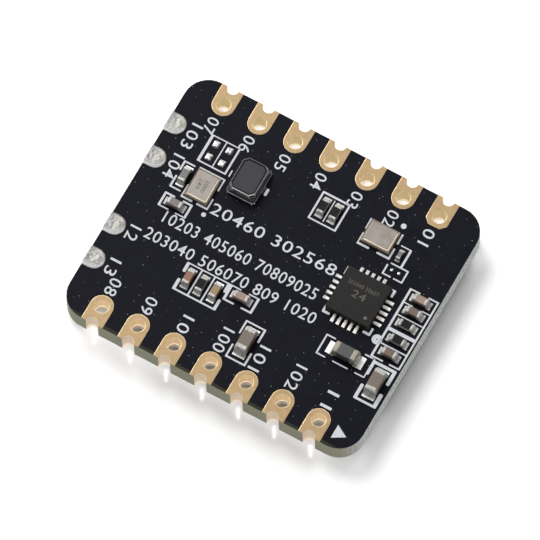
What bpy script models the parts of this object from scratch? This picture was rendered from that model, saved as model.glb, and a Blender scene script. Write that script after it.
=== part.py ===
"""Microwave radar sensor module: a small circuit board with castellated edge contacts.

Metres, +Z up. X runs along the board's long side and Y across it. The origin is under the middle of the
board, on the face of the underside chip that the module rests on.
"""

from math import cos, pi, radians, sin, sqrt

import bmesh
import bpy
from mathutils import Matrix

for old in list(bpy.data.objects):
    bpy.data.objects.remove(old, do_unlink=True)

# Driving sizes of the board
BOARD_LENGTH = 0.0206
BOARD_WIDTH = 0.0177
BOARD_THICKNESS = 0.0016
BOARD_CORNER_RADIUS = 0.00165

# Driving sizes of the edge contacts
PIN_PITCH = 0.00254
PINS_PER_ROW = 7
ROW_TO_EDGE = 0.00123
PIN_GRID_SHIFT = -0.000185
HOLE_RADIUS = 0.00045
NOTCH_RADIUS = 0.0004
PLATING = 0.00003
LAND_WIDTH = 0.0015
LAND_THICKNESS = 0.00004
FIRST_LAND_CHAMFER = 0.00036

# Clearance between a plated barrel and its hole, and the film under whatever is soldered down
FIT = 0.00001

# Driving sizes of the tinned side pads and the empty tinned pads
SIDE_PAD_LENGTH = 0.00123
SIDE_PAD_WIDTH = 0.0014
SIDE_PAD_HEIGHT = 0.00022
EMPTY_PAD_LENGTH = 0.00054
EMPTY_PAD_WIDTH = 0.0005
EMPTY_PAD_HEIGHT = 0.00008
SMALL_PAD_LENGTH = 0.00034
SMALL_PAD_WIDTH = 0.0003

# Driving sizes of the leadless packages
CONTROLLER_SIZE = 0.003
CONTROLLER_HEIGHT = 0.00075
CONTROLLER_LANDS = 5
RADAR_SIZE = 0.004
RADAR_HEIGHT = 0.00085
RADAR_LANDS = 8
LEADLESS_PITCH = 0.0004
LEADLESS_LAND_WIDTH = 0.00021
LEADLESS_LAND_REACH = 0.00052
LEADLESS_LAND_HEIGHT = 0.00018
LEADLESS_LAND_TOE = 0.00006
PIN_MARK_RADIUS = 0.00012
PIN_MARK_DEPTH = 0.00004
PIN_MARK_INSET = 0.00046

# Driving sizes of the power inductor
INDUCTOR_LENGTH = 0.00252
INDUCTOR_WIDTH = 0.002
INDUCTOR_HEIGHT = 0.001
INDUCTOR_FOOT_HEIGHT = 0.00028
INDUCTOR_CAP_HEIGHT = 0.00028
INDUCTOR_CAP_STEP = 0.00012
INDUCTOR_COAT_STEP = 0.00007
INDUCTOR_POST_WIDTH = 0.0008
INDUCTOR_CAP_CHAMFER = 0.0003
INDUCTOR_FOOT_CHAMFER = 0.00014

# Driving sizes of the crystals
CRYSTAL_LENGTH = 0.002
CRYSTAL_WIDTH = 0.0016
CRYSTAL_CASE_HEIGHT = 0.0003
CRYSTAL_LID_HEIGHT = 0.00015
CRYSTAL_LID_STEP = 0.00007
CRYSTAL_CORNER = 0.00012

# Chip sizes: length, width, height, end cap length
CAPACITOR_0603 = (0.0016, 0.0008, 0.0008, 0.0004)
CAPACITOR_0402 = (0.001, 0.0005, 0.0005, 0.00024)
CAPACITOR_0201 = (0.0006, 0.0003, 0.0003, 0.00015)
RESISTOR_0402 = (0.001, 0.0005, 0.00035, 0.00022)
CHIP_BODY_STEP = 0.000012
CHIP_EDGE_RADIUS = 0.00004

# Driving sizes of the underside antennas
ANTENNA_DISTANCE = 0.0066
PATCH_SIZE = 0.0032
PATCH_SPACING = 0.0062
PATCH_THICKNESS = 0.00004
FEED_WIDTH = 0.0003
FEED_INSET = 0.0006

# Heights that follow from the sizes above: the module rests on the face of the radar chip
BOARD_BOTTOM = RADAR_HEIGHT + FIT
BOARD_TOP = BOARD_BOTTOM + BOARD_THICKNESS
SEAT = BOARD_TOP + FIT

# Distances of the middles of the pieces from the board's left edge
TALL_CRYSTAL_FROM_LEFT = 0.004085
INDUCTOR_FROM_LEFT = 0.006415
EMPTY_PADS_FROM_LEFT = 0.00386
TALL_CRYSTAL_CAPACITOR_1_FROM_LEFT = 0.002725
TALL_CRYSTAL_CAPACITOR_2_FROM_LEFT = 0.003135

# Distances from the board's right edge
CONTROLLER_FROM_RIGHT = 0.004525
WIDE_CRYSTAL_FROM_RIGHT = 0.005355
WIDE_CRYSTAL_CAPACITOR_FROM_RIGHT = 0.003735
SMALL_PADS_FROM_RIGHT = 0.00347
COLUMN_FROM_RIGHT = 0.00113
SUPPLY_CAPACITOR_FROM_RIGHT = 0.000945
BEAD_FROM_RIGHT = 0.003465

# Spacings of the empty pads
EMPTY_PADS_SPACING = (0.00092, 0.00095)
SMALL_PADS_SPACING = 0.00049

# Places on the board. What is grouped at one end keeps its distance to that edge
LEFT_EDGE = -BOARD_LENGTH / 2
RIGHT_EDGE = BOARD_LENGTH / 2
ROW_SPACING = BOARD_WIDTH - 2 * ROW_TO_EDGE
LANDS_INNER_END = ROW_SPACING / 2 - LAND_WIDTH / 2
RADAR_AT = (-0.0001, 0.00135)
CONTROLLER_AT = (RIGHT_EDGE - CONTROLLER_FROM_RIGHT, 0.00037)
CONTROLLER_REACH = CONTROLLER_AT[1] + CONTROLLER_SIZE / 2 + LEADLESS_LAND_REACH
WIDE_CRYSTAL_AT = (RIGHT_EDGE - WIDE_CRYSTAL_FROM_RIGHT, (CONTROLLER_REACH + LANDS_INNER_END) / 2)
SMALL_PADS_AT = (RIGHT_EDGE - SMALL_PADS_FROM_RIGHT, 0.00311)
TALL_CRYSTAL_AT = (LEFT_EDGE + TALL_CRYSTAL_FROM_LEFT, 0.00219)
INDUCTOR_AT = (LEFT_EDGE + INDUCTOR_FROM_LEFT, 0.0039)
EMPTY_PADS_AT = (LEFT_EDGE + EMPTY_PADS_FROM_LEFT, 0.00464)

# Colours as linear red, green, blue
MASK_BLACK = (0.012, 0.012, 0.015)
GOLD = (0.66, 0.46, 0.21)
SOLDER = (0.58, 0.57, 0.54)
MOULDING_BLACK = (0.026, 0.025, 0.024)
FERRITE_GREY = (0.07, 0.07, 0.075)
RESIN_BLACK = (0.02, 0.02, 0.02)
CERAMIC_BROWN = (0.09, 0.065, 0.045)
LID_METAL = (0.4, 0.33, 0.29)
CAPACITOR_BROWN = (0.26, 0.17, 0.12)
CAPACITOR_PINK = (0.42, 0.27, 0.23)
CAPACITOR_TAN = (0.36, 0.24, 0.14)
CAPACITOR_ORANGE = (0.42, 0.14, 0.07)
CAPACITOR_GREY = (0.18, 0.16, 0.14)
RESISTOR_BLACK = (0.018, 0.017, 0.018)
BEAD_GREY = (0.1, 0.105, 0.105)


# Outlines, as points that run anticlockwise seen from the end they are drawn on

def arc(centre_x, centre_y, radius, start, end, steps):
    """Points along an arc, both ends included."""
    turns = [start + (end - start) * step / steps for step in range(steps + 1)]
    return [(centre_x + radius * cos(turn), centre_y + radius * sin(turn)) for turn in turns]


def circle(radius, steps, centre_y=0.0):
    return arc(0.0, centre_y, radius, 0.0, 2 * pi, steps)[:-1]


def rounded_rectangle(length, width, radius, steps):
    """A rectangle round the origin with rounded corners."""
    reach_x = length / 2 - radius
    reach_y = width / 2 - radius
    points = []
    for quarter, (side_x, side_y) in enumerate(((1, 1), (-1, 1), (-1, -1), (1, -1))):
        start = quarter * pi / 2
        points += arc(side_x * reach_x, side_y * reach_y, radius, start, start + pi / 2, steps)
    return points


def chamfered_rectangle(length, width, chamfer):
    """A rectangle round the origin with its corners cut off."""
    half_x = length / 2
    half_y = width / 2
    quarter = [(half_x, half_y - chamfer), (half_x - chamfer, half_y)]
    other = [(-x, y) for x, y in reversed(quarter)]
    return quarter + other + [(-x, -y) for x, y in quarter + other]


def tongue(half_width, reach, steps):
    """A straight-sided tongue: flat end at +Y = reach, half-round end behind the origin."""
    return [(half_width, reach), (-half_width, reach)] + arc(0.0, 0.0, half_width, pi, 2 * pi, steps)


def chamfered_tongue(half_width, reach, chamfer):
    """The same tongue with a square end whose two corners are cut off."""
    near = [(-half_width, chamfer - half_width), (chamfer - half_width, -half_width)]
    far = [(-x, y) for x, y in reversed(near)]
    return [(half_width, reach), (-half_width, reach)] + near + far


def at_height(outline, z):
    return [(x, y, z) for x, y in outline]


# Solids

def finish(name, colour, roughness, metallic):
    """A plain Principled finish."""
    material = bpy.data.materials.new(name)
    material.use_nodes = True
    shader = material.node_tree.nodes["Principled BSDF"]
    shader.inputs["Base Color"].default_value = (*colour, 1.0)
    shader.inputs["Roughness"].default_value = roughness
    shader.inputs["Metallic"].default_value = metallic
    return material


def loft(rings):
    """A closed mesh through rings of the same number of points, with flat ends."""
    shape = bmesh.new()
    loops = [[shape.verts.new(point) for point in ring] for ring in rings]
    for lower, upper in zip(loops, loops[1:]):
        for index in range(len(lower)):
            after = (index + 1) % len(lower)
            shape.faces.new((lower[index], lower[after], upper[after], upper[index]))
    shape.faces.new(reversed(loops[0]))
    shape.faces.new(loops[-1])
    bmesh.ops.recalc_face_normals(shape, faces=shape.faces)
    return shape


def merged(shapes):
    """One mesh that holds several closed shapes side by side."""
    whole = bmesh.new()
    for shape in shapes:
        piece = bpy.data.meshes.new("piece")
        shape.to_mesh(piece)
        shape.free()
        whole.from_mesh(piece)
        bpy.data.meshes.remove(piece)
    return whole


def mesh_of(name, shape, material=None):
    mesh = bpy.data.meshes.new(name)
    shape.to_mesh(mesh)
    shape.free()
    if material:
        mesh.materials.append(material)
    mesh.shade_smooth()
    mesh.set_sharp_from_angle(angle=radians(35))
    return mesh


def place(name, mesh, location=(0.0, 0.0, 0.0), turn=0.0):
    """Puts a mesh on the bench as a named piece."""
    piece = bpy.data.objects.new(name, mesh)
    piece.location = location
    piece.rotation_euler = (0.0, 0.0, turn)
    bpy.context.scene.collection.objects.link(piece)
    return piece


def helper(name, shape, parent=None):
    """A cutter: shown as wires and left out of the finished part."""
    tool = place(name, mesh_of(name, shape))
    tool.hide_render = True
    tool.display_type = "WIRE"
    tool.parent = parent
    return tool


def combine(piece, tool, operation):
    step = piece.modifiers.new(tool.name, "BOOLEAN")
    step.operation = operation
    step.solver = "EXACT"
    step.object = tool


# Circuit board: laminate with rounded corners, drilled for the contacts and half drilled at its long edges

def pin_places():
    """Pin number, place and turn of each contact. Turn 0 faces the edge at +Y, pi the edge at -Y."""
    middle = (PINS_PER_ROW - 1) / 2
    for index in range(PINS_PER_ROW):
        x = PIN_GRID_SHIFT + (middle - index) * PIN_PITCH
        yield index + 1, x, ROW_SPACING / 2, 0.0
    for index in range(PINS_PER_ROW):
        x = PIN_GRID_SHIFT + (index - middle) * PIN_PITCH
        yield PINS_PER_ROW + index + 1, x, -ROW_SPACING / 2, pi


ROUND_STEPS = 20


def drill(radius, centre_y, bottom, top):
    outline = circle(radius, ROUND_STEPS, centre_y)
    return loft([at_height(outline, bottom), at_height(outline, top)])


def circuit_board():
    outline = rounded_rectangle(BOARD_LENGTH, BOARD_WIDTH, BOARD_CORNER_RADIUS, 8)
    blank = loft([at_height(outline, BOARD_BOTTOM), at_height(outline, BOARD_TOP)])
    mask = finish("solder_mask", MASK_BLACK, 0.42, 0.0)
    board = place("circuit_board", mesh_of("circuit_board", blank, mask))
    past = BOARD_THICKNESS / 4
    room = PLATING + FIT
    holes = []
    for _, x, y, turn in pin_places():
        pair = [
            drill(HOLE_RADIUS + room, 0.0, BOARD_BOTTOM - past, BOARD_TOP + past),
            drill(NOTCH_RADIUS + room, ROW_TO_EDGE, BOARD_BOTTOM - past, BOARD_TOP + past),
        ]
        for shape in pair:
            shape.transform(Matrix.Translation((x, y, 0.0)) @ Matrix.Rotation(turn, 4, "Z"))
        holes += pair
    combine(board, helper("board_drill", merged(holes), board), "DIFFERENCE")
    return board


# Edge contacts: one U-shaped skin of plated copper each, over the top of the board, down through the
# drilled hole and the half hole in the edge, and under the board

def contact_mesh(name, outline):
    """A block of the land's outline, less the board between its lands and less the hole and the half hole."""
    bottom = BOARD_BOTTOM - FIT - LAND_THICKNESS
    top = BOARD_TOP + FIT + LAND_THICKNESS
    past = BOARD_THICKNESS / 4
    contact = place(name, mesh_of(name, loft([at_height(outline, bottom), at_height(outline, top)])))

    slab_outline = chamfered_rectangle(2 * LAND_WIDTH, 4 * ROW_TO_EDGE, LAND_WIDTH / 4)
    slab = loft([at_height(slab_outline, BOARD_BOTTOM - FIT), at_height(slab_outline, BOARD_TOP + FIT)])
    board_between = helper(name + "_board", slab)
    barrels = merged([
        drill(HOLE_RADIUS + PLATING, 0.0, bottom - past, top + past),
        drill(NOTCH_RADIUS + PLATING, ROW_TO_EDGE, bottom - past, top + past),
    ])
    barrel_tool = helper(name + "_barrels", barrels)
    combine(board_between, barrel_tool, "DIFFERENCE")
    openings = merged([
        drill(HOLE_RADIUS, 0.0, bottom - past, top + past),
        drill(NOTCH_RADIUS, ROW_TO_EDGE, bottom - past, top + past),
    ])
    opening_tool = helper(name + "_openings", openings)
    combine(contact, board_between, "DIFFERENCE")
    combine(contact, opening_tool, "DIFFERENCE")

    bpy.context.view_layer.update()
    evaluated = contact.evaluated_get(bpy.context.evaluated_depsgraph_get())
    mesh = bpy.data.meshes.new_from_object(evaluated)
    mesh.name = name
    mesh.materials.clear()
    mesh.materials.append(finish(name, GOLD, 0.28, 1.0))
    for tool in (contact, board_between, barrel_tool, opening_tool):
        bpy.data.objects.remove(tool, do_unlink=True)
    return mesh


def edge_contacts(board):
    round_ended = contact_mesh("edge_contact", tongue(LAND_WIDTH / 2, ROW_TO_EDGE, 12))
    first = contact_mesh("first_contact", chamfered_tongue(LAND_WIDTH / 2, ROW_TO_EDGE, FIRST_LAND_CHAMFER))
    for number, x, y, turn in pin_places():
        mesh = first if number == 1 else round_ended
        place(f"edge_contact_{number:02d}", mesh, (x, y, 0.0), turn).parent = board


# Tinned pads: low domes of solder, higher in the middle than at the rim

def dome(outline_at, height, rings=4):
    """A cushion of solder. outline_at(share) gives the outline pulled in by that share of its width."""
    levels = []
    for ring in range(rings + 1):
        rise = ring / rings
        levels.append(at_height(outline_at((1 - sqrt(1 - rise * rise)) * 0.55), height * rise))
    return loft(levels)


def side_pads(board):
    """Four lumps against the short edge, flat on the edge side and half round on the other."""
    half = SIDE_PAD_WIDTH / 2

    def outline_at(share):
        inner = half * (1 - share)
        edge = [(-(SIDE_PAD_LENGTH - half), inner), (-(SIDE_PAD_LENGTH - half), -inner)]
        return edge + arc(0.0, 0.0, inner, -pi / 2, pi / 2, 12)

    solder = finish("side_solder", SOLDER, 0.33, 1.0)
    x = -BOARD_LENGTH / 2 + SIDE_PAD_LENGTH - half
    for number, step in enumerate((2, 1, -1, -2), 1):
        mesh = mesh_of(f"side_pad_{number}", dome(outline_at, SIDE_PAD_HEIGHT), solder)
        place(f"side_pad_{number}", mesh, (x, step * PIN_PITCH, SEAT)).parent = board


def empty_pads(board):
    """Tinned pads with nothing fitted: four in one printed frame and two small ones in another."""

    def square_dome(length, width):
        def outline_at(share):
            keep = 1 - share
            return rounded_rectangle(width * keep, length * keep, width * keep * 0.16, 2)
        return outline_at

    tin = finish("tinned_pad", SOLDER, 0.3, 1.0)
    wide = square_dome(EMPTY_PAD_LENGTH, EMPTY_PAD_WIDTH)
    small = square_dome(SMALL_PAD_LENGTH, SMALL_PAD_WIDTH)
    number = 0
    for side_y in (1, -1):
        for side_x in (-1, 1):
            number += 1
            x = EMPTY_PADS_AT[0] + side_x * EMPTY_PADS_SPACING[0] / 2
            y = EMPTY_PADS_AT[1] + side_y * EMPTY_PADS_SPACING[1] / 2
            mesh = mesh_of(f"empty_pad_{number}", dome(wide, EMPTY_PAD_HEIGHT), tin)
            place(f"empty_pad_{number}", mesh, (x, y, SEAT)).parent = board
    for number, side_x in enumerate((-1, 1), 1):
        x = SMALL_PADS_AT[0] + side_x * SMALL_PADS_SPACING / 2
        mesh = mesh_of(f"small_pad_{number}", dome(small, EMPTY_PAD_HEIGHT), tin)
        place(f"small_pad_{number}", mesh, (x, SMALL_PADS_AT[1], SEAT)).parent = board


# Leadless packages: a moulded square with a round first-pin mark, and solder-wetted lands that slope out from
# under its sides

def land_wedge(inner, outer):
    """One land along +X: as high as the solder climbs at the package and thin at its toe."""
    half = LEADLESS_LAND_WIDTH / 2
    sides = []
    for y in (-half, half):
        foot = [(inner, y, 0.0), (outer, y, 0.0)]
        slope = [(outer, y, LEADLESS_LAND_TOE), (inner, y, LEADLESS_LAND_HEIGHT)]
        sides.append(foot + slope)
    return loft(sides)


def leadless_package(name, size, height, lands_per_side, mark_side, colour):
    """The package stands on its lands at Z = 0, with its mark in the corner that mark_side names."""
    edge = size * 0.012
    square = [
        at_height(chamfered_rectangle(size, size, edge), 0.0),
        at_height(chamfered_rectangle(size, size, edge), height - edge),
        at_height(chamfered_rectangle(size - 2 * edge, size - 2 * edge, edge), height),
    ]
    package = place(name, mesh_of(name, loft(square), finish(name, colour, 0.5, 0.0)))

    wedges = []
    overlap = LEADLESS_LAND_WIDTH / 2
    for side in range(4):
        for land in range(lands_per_side):
            along = (land - (lands_per_side - 1) / 2) * LEADLESS_PITCH
            wedge = land_wedge(size / 2 - overlap, size / 2 + LEADLESS_LAND_REACH)
            wedge.transform(Matrix.Rotation(side * pi / 2, 4, "Z") @ Matrix.Translation((0.0, along, 0.0)))
            wedges.append(wedge)
    combine(package, helper(name + "_lands", merged(wedges), package), "UNION")

    mark = loft([
        at_height(circle(PIN_MARK_RADIUS, 16), height - PIN_MARK_DEPTH),
        at_height(circle(PIN_MARK_RADIUS, 16), height + PIN_MARK_DEPTH),
    ])
    reach = size / 2 - PIN_MARK_INSET
    mark.transform(Matrix.Translation((mark_side[0] * reach, mark_side[1] * reach, 0.0)))
    combine(package, helper(name + "_mark", mark, package), "DIFFERENCE")
    return package


def controller_chip(board):
    chip = leadless_package(
        "controller_chip", CONTROLLER_SIZE, CONTROLLER_HEIGHT, CONTROLLER_LANDS, (1, -1), MOULDING_BLACK)
    chip.location = (*CONTROLLER_AT, SEAT)
    chip.parent = board


def radar_chip(board):
    """The radar transceiver hangs under the board, and its face is what the module rests on."""
    chip = leadless_package("radar_chip", RADAR_SIZE, RADAR_HEIGHT, RADAR_LANDS, (-1, 1), MOULDING_BLACK)
    chip.location = (*RADAR_AT, BOARD_BOTTOM - FIT)
    chip.rotation_euler = (pi, 0.0, 0.0)
    chip.parent = board


# Power inductor: a pressed ferrite drum whose winding is coated with resin

def power_inductor(board):
    foot = chamfered_rectangle(INDUCTOR_WIDTH, INDUCTOR_LENGTH, INDUCTOR_FOOT_CHAMFER)
    post = chamfered_rectangle(
        INDUCTOR_POST_WIDTH, INDUCTOR_LENGTH - INDUCTOR_WIDTH + INDUCTOR_POST_WIDTH, INDUCTOR_FOOT_CHAMFER)
    cap_width = INDUCTOR_WIDTH - 2 * INDUCTOR_CAP_STEP
    cap_length = INDUCTOR_LENGTH - 2 * INDUCTOR_CAP_STEP
    cap = chamfered_rectangle(cap_width, cap_length, INDUCTOR_CAP_CHAMFER)
    rim = LAND_THICKNESS
    cap_face = chamfered_rectangle(cap_width - 2 * rim, cap_length - 2 * rim, INDUCTOR_CAP_CHAMFER - rim / 2)
    cap_bottom = INDUCTOR_HEIGHT - INDUCTOR_CAP_HEIGHT
    core = loft([
        at_height(foot, 0.0),
        at_height(foot, INDUCTOR_FOOT_HEIGHT),
        at_height(post, INDUCTOR_FOOT_HEIGHT),
        at_height(post, cap_bottom),
        at_height(cap, cap_bottom),
        at_height(cap, INDUCTOR_HEIGHT - rim),
        at_height(cap_face, INDUCTOR_HEIGHT),
    ])
    core_mesh = mesh_of("inductor_core", core, finish("ferrite", FERRITE_GREY, 0.45, 0.0))
    place("inductor_core", core_mesh, (*INDUCTOR_AT, SEAT)).parent = board

    coat_width = INDUCTOR_WIDTH - 2 * INDUCTOR_COAT_STEP
    coat_length = INDUCTOR_LENGTH - 2 * INDUCTOR_COAT_STEP
    wide = chamfered_rectangle(coat_width, coat_length, INDUCTOR_FOOT_CHAMFER)
    narrow = chamfered_rectangle(
        cap_width + INDUCTOR_COAT_STEP, cap_length + INDUCTOR_COAT_STEP, INDUCTOR_CAP_CHAMFER)
    shoulder = (INDUCTOR_FOOT_HEIGHT + cap_bottom) / 2
    coat = loft([
        at_height(wide, INDUCTOR_FOOT_HEIGHT + FIT),
        at_height(wide, shoulder),
        at_height(narrow, cap_bottom - FIT),
    ])
    coat_mesh = mesh_of("inductor_coat", coat, finish("winding_resin", RESIN_BLACK, 0.55, 0.0))
    coat_piece = place("inductor_coat", coat_mesh, (*INDUCTOR_AT, SEAT))
    coat_piece.parent = board
    post_room = chamfered_rectangle(
        INDUCTOR_POST_WIDTH + 2 * FIT,
        INDUCTOR_LENGTH - INDUCTOR_WIDTH + INDUCTOR_POST_WIDTH + 2 * FIT,
        INDUCTOR_FOOT_CHAMFER,
    )
    bore = loft([at_height(post_room, 0.0), at_height(post_room, INDUCTOR_HEIGHT)])
    combine(coat_piece, helper("inductor_bore", bore, coat_piece), "DIFFERENCE")


# Crystals: a ceramic case with a metal lid seam-sealed on its rim

def crystal(name, place_xy, turn, board):
    case_outline = rounded_rectangle(CRYSTAL_LENGTH, CRYSTAL_WIDTH, CRYSTAL_CORNER / 2, 3)
    case = loft([at_height(case_outline, 0.0), at_height(case_outline, CRYSTAL_CASE_HEIGHT)])
    case_mesh = mesh_of(name + "_case", case, finish(name + "_case", CERAMIC_BROWN, 0.55, 0.0))
    place(name + "_case", case_mesh, (*place_xy, SEAT), turn).parent = board

    def lid_outline(step):
        inset = 2 * (CRYSTAL_LID_STEP + step)
        return rounded_rectangle(CRYSTAL_LENGTH - inset, CRYSTAL_WIDTH - inset, CRYSTAL_CORNER, 4)

    slope = CRYSTAL_LID_HEIGHT / 2
    lid = loft([
        at_height(lid_outline(0.0), 0.0),
        at_height(lid_outline(0.0), CRYSTAL_LID_HEIGHT - slope),
        at_height(lid_outline(slope * 0.3), CRYSTAL_LID_HEIGHT - slope * 0.3),
        at_height(lid_outline(slope), CRYSTAL_LID_HEIGHT),
    ])
    lid_mesh = mesh_of(name + "_lid", lid, finish(name + "_lid", LID_METAL, 0.35, 1.0))
    lid_bottom = SEAT + CRYSTAL_CASE_HEIGHT + FIT
    place(name + "_lid", lid_mesh, (*place_xy, lid_bottom), turn).parent = board


# Chip capacitors, resistors and the bead: a ceramic block with an end cap fired on each end

def chip(name, size, place_xy, turn, colour, board):
    """Sections along the chip: a rounded end cap, a small step down to the body, and up to the other cap."""
    length, width, height, end_cap = size
    radius = CHIP_EDGE_RADIUS * height / CAPACITOR_0402[2]

    def section(x, inset, corner):
        outline = rounded_rectangle(width - 2 * inset, height - 2 * inset, corner, 2)
        return [(x, y, z + height / 2) for y, z in outline]

    half = length / 2
    end = [
        section(-half, radius * 0.6, radius * 0.6),
        section(-half + radius * 0.3, radius * 0.2, radius),
        section(-half + radius, 0.0, radius),
        section(-half + end_cap, 0.0, radius),
        section(-half + end_cap, CHIP_BODY_STEP, radius),
    ]
    other_end = [[(-x, y, z) for x, y, z in ring] for ring in reversed(end)]
    mesh = mesh_of(name, loft(end + other_end), finish(name, colour, 0.45, 0.0))
    place(name, mesh, (*place_xy, SEAT), turn).parent = board


ALONG_X = 0.0
ALONG_Y = pi / 2

# Chips beside the crystals and between them
TALL_CRYSTAL_CAPACITOR_1_AT = (LEFT_EDGE + TALL_CRYSTAL_CAPACITOR_1_FROM_LEFT, 0.00231)
TALL_CRYSTAL_CAPACITOR_2_AT = (LEFT_EDGE + TALL_CRYSTAL_CAPACITOR_2_FROM_LEFT, 0.00038)
WIDE_CRYSTAL_CAPACITOR_AT = (RIGHT_EDGE - WIDE_CRYSTAL_CAPACITOR_FROM_RIGHT, 0.00416)
CRYSTAL_CHIPS = (
    ("tall_crystal_capacitor_1", CAPACITOR_0402, TALL_CRYSTAL_CAPACITOR_1_AT, ALONG_Y, CAPACITOR_GREY),
    ("tall_crystal_capacitor_2", CAPACITOR_0402, TALL_CRYSTAL_CAPACITOR_2_AT, ALONG_X, CAPACITOR_PINK),
    ("wide_crystal_capacitor", CAPACITOR_0201, WIDE_CRYSTAL_CAPACITOR_AT, ALONG_Y, CAPACITOR_GREY),
    ("link_resistor_1", RESISTOR_0402, (0.000905, 0.00466), ALONG_Y, RESISTOR_BLACK),
    ("link_resistor_2", RESISTOR_0402, (0.001755, 0.00466), ALONG_Y, RESISTOR_BLACK),
)

# The column of five in the frame along the right edge, from the back to the front
COLUMN_X = RIGHT_EDGE - COLUMN_FROM_RIGHT
COLUMN_CHIPS = (
    ("column_capacitor_1", CAPACITOR_0402, 0.00214, CAPACITOR_PINK),
    ("column_capacitor_2", CAPACITOR_0402, 0.00123, CAPACITOR_BROWN),
    ("column_resistor_1", RESISTOR_0402, 0.0003, RESISTOR_BLACK),
    ("column_resistor_2", RESISTOR_0402, -0.00083, RESISTOR_BLACK),
    ("column_capacitor_3", CAPACITOR_0402, -0.00184, CAPACITOR_BROWN),
)

# The row of three near the front edge and the capacitor beside it
ROW_Y = -0.00345
ROW_CHIPS = (
    ("row_capacitor_1", CAPACITOR_0402, -0.004045, CAPACITOR_ORANGE),
    ("row_resistor", RESISTOR_0402, -0.003135, RESISTOR_BLACK),
    ("row_capacitor_2", CAPACITOR_0402, -0.002175, CAPACITOR_TAN),
)

# The supply filter: two larger capacitors and the ferrite bead
SUPPLY_CAPACITOR_AT = (RIGHT_EDGE - SUPPLY_CAPACITOR_FROM_RIGHT, -0.00392)
SUPPLY_CHIPS = (
    ("row_capacitor_3", CAPACITOR_0402, (-0.000565, -0.00301), ALONG_X, CAPACITOR_PINK),
    ("supply_capacitor_1", CAPACITOR_0603, (0.001105, -0.0054), ALONG_Y, CAPACITOR_GREY),
    ("supply_capacitor_2", CAPACITOR_0603, SUPPLY_CAPACITOR_AT, ALONG_Y, CAPACITOR_GREY),
    ("supply_bead", CAPACITOR_0603, (RIGHT_EDGE - BEAD_FROM_RIGHT, -0.00314), ALONG_X, BEAD_GREY),
)


# Antennas: one pair of copper patches each side of the radar chip, joined by a feed line, on the underside

def antenna(name, side, board):
    """Built along +X and mirrored by side: two patches with notched feeds on one line to the chip."""
    top = BOARD_BOTTOM - FIT
    half_line = FEED_WIDTH / 2
    patch_edge = ANTENNA_DISTANCE - PATCH_SIZE / 2
    patch_far = ANTENNA_DISTANCE + PATCH_SIZE / 2
    line_x = patch_edge - PATCH_SIZE / 4
    chip_x = side * RADAR_AT[0] + RADAR_SIZE / 2 + LEADLESS_LAND_REACH + FEED_WIDTH

    def strip(x_from, x_to, y_from, y_to, past=0.0):
        xs = sorted((side * x_from, side * x_to))
        outline = [(xs[0], y_from), (xs[1], y_from), (xs[1], y_to), (xs[0], y_to)]
        return loft([at_height(outline, top - PATCH_THICKNESS - past), at_height(outline, top + past)])

    line_reach = PATCH_SPACING / 2 + half_line
    line = strip(line_x - half_line, line_x + half_line, -line_reach, line_reach)
    whole = place(name, mesh_of(name, line, finish(name, GOLD, 0.3, 1.0)))
    whole.parent = board
    arms = [strip(chip_x, line_x, RADAR_AT[1] - half_line, RADAR_AT[1] + half_line)]
    patches = []
    notches = []
    for end in (-1, 1):
        y = end * PATCH_SPACING / 2
        patches.append(strip(patch_edge, patch_far, y - PATCH_SIZE / 2, y + PATCH_SIZE / 2))
        arms.append(strip(line_x, patch_edge + FEED_INSET + half_line, y - half_line, y + half_line))
        for edge in (-1, 1):
            notch_y = y + edge * FEED_WIDTH
            notches.append(strip(
                patch_edge - half_line, patch_edge + FEED_INSET, notch_y - half_line, notch_y + half_line,
                PATCH_THICKNESS))
    patch_tool = helper(name + "_patches", merged(patches), whole)
    combine(patch_tool, helper(name + "_notches", merged(notches), whole), "DIFFERENCE")
    combine(whole, patch_tool, "UNION")
    combine(whole, helper(name + "_arms", merged(arms), whole), "UNION")


def module():
    board = circuit_board()
    edge_contacts(board)
    side_pads(board)
    empty_pads(board)
    controller_chip(board)
    power_inductor(board)
    crystal("tall_crystal", TALL_CRYSTAL_AT, ALONG_Y, board)
    crystal("wide_crystal", WIDE_CRYSTAL_AT, ALONG_X, board)
    for name, size, place_xy, turn, colour in CRYSTAL_CHIPS + SUPPLY_CHIPS:
        chip(name, size, place_xy, turn, colour, board)
    for name, size, y, colour in COLUMN_CHIPS:
        chip(name, size, (COLUMN_X, y), ALONG_X, colour, board)
    for name, size, x, colour in ROW_CHIPS:
        chip(name, size, (x, ROW_Y), ALONG_Y, colour, board)
    radar_chip(board)
    antenna("antenna_transmit", 1, board)
    antenna("antenna_receive", -1, board)


module()
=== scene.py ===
from contextlib import contextmanager
from math import pi, radians

import bpy
from mathutils import Matrix, Vector


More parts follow.
